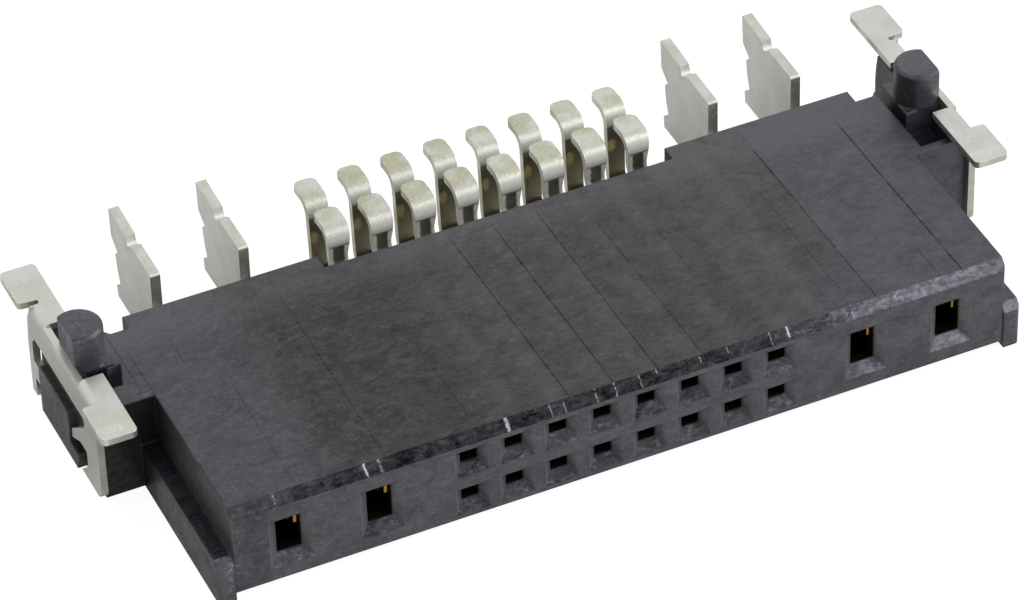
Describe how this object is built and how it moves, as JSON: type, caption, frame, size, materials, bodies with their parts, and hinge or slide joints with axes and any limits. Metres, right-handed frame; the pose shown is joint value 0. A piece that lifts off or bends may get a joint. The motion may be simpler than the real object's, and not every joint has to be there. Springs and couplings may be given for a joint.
{
  "type": "right-angle board socket connector",
  "caption": "Low right-angle board socket: moulded housing with small signal cavities, power cavities, bent solder tails and hold-down brackets.",
  "frame": {"origin": "middle of the footprint on the flat cover face that it lies on", "axes": "+Z from the cover face to the board side, +Y from the mating face to the solder tails, +X along the row to the right seen from the mating face"},
  "size_m": [0.0264, 0.0124, 0.0042],
  "materials": {
    "housing_plastic": "moulded charcoal plastic, matte",
    "signal_tin": "satin tin plate",
    "power_tin": "matte tin plate",
    "bracket_tin": "matte tin plate"
  },
  "bodies": {
    "root": {"housing": "housing_plastic", "signal_front_1": "signal_tin", "signal_front_2": "signal_tin", "signal_front_3": "signal_tin", "signal_front_4": "signal_tin", "signal_front_5": "signal_tin", "signal_front_6": "signal_tin", "signal_front_7": "signal_tin", "signal_front_8": "signal_tin", "signal_rear_1": "signal_tin", "signal_rear_2": "signal_tin", "signal_rear_3": "signal_tin", "signal_rear_4": "signal_tin", "signal_rear_5": "signal_tin", "signal_rear_6": "signal_tin", "signal_rear_7": "signal_tin", "signal_rear_8": "signal_tin", "power_contact_1": "power_tin", "power_contact_2": "power_tin", "power_contact_3": "power_tin", "power_contact_4": "power_tin", "hold_down_left": "bracket_tin", "hold_down_right": "bracket_tin"}
  },
  "joints": []
}
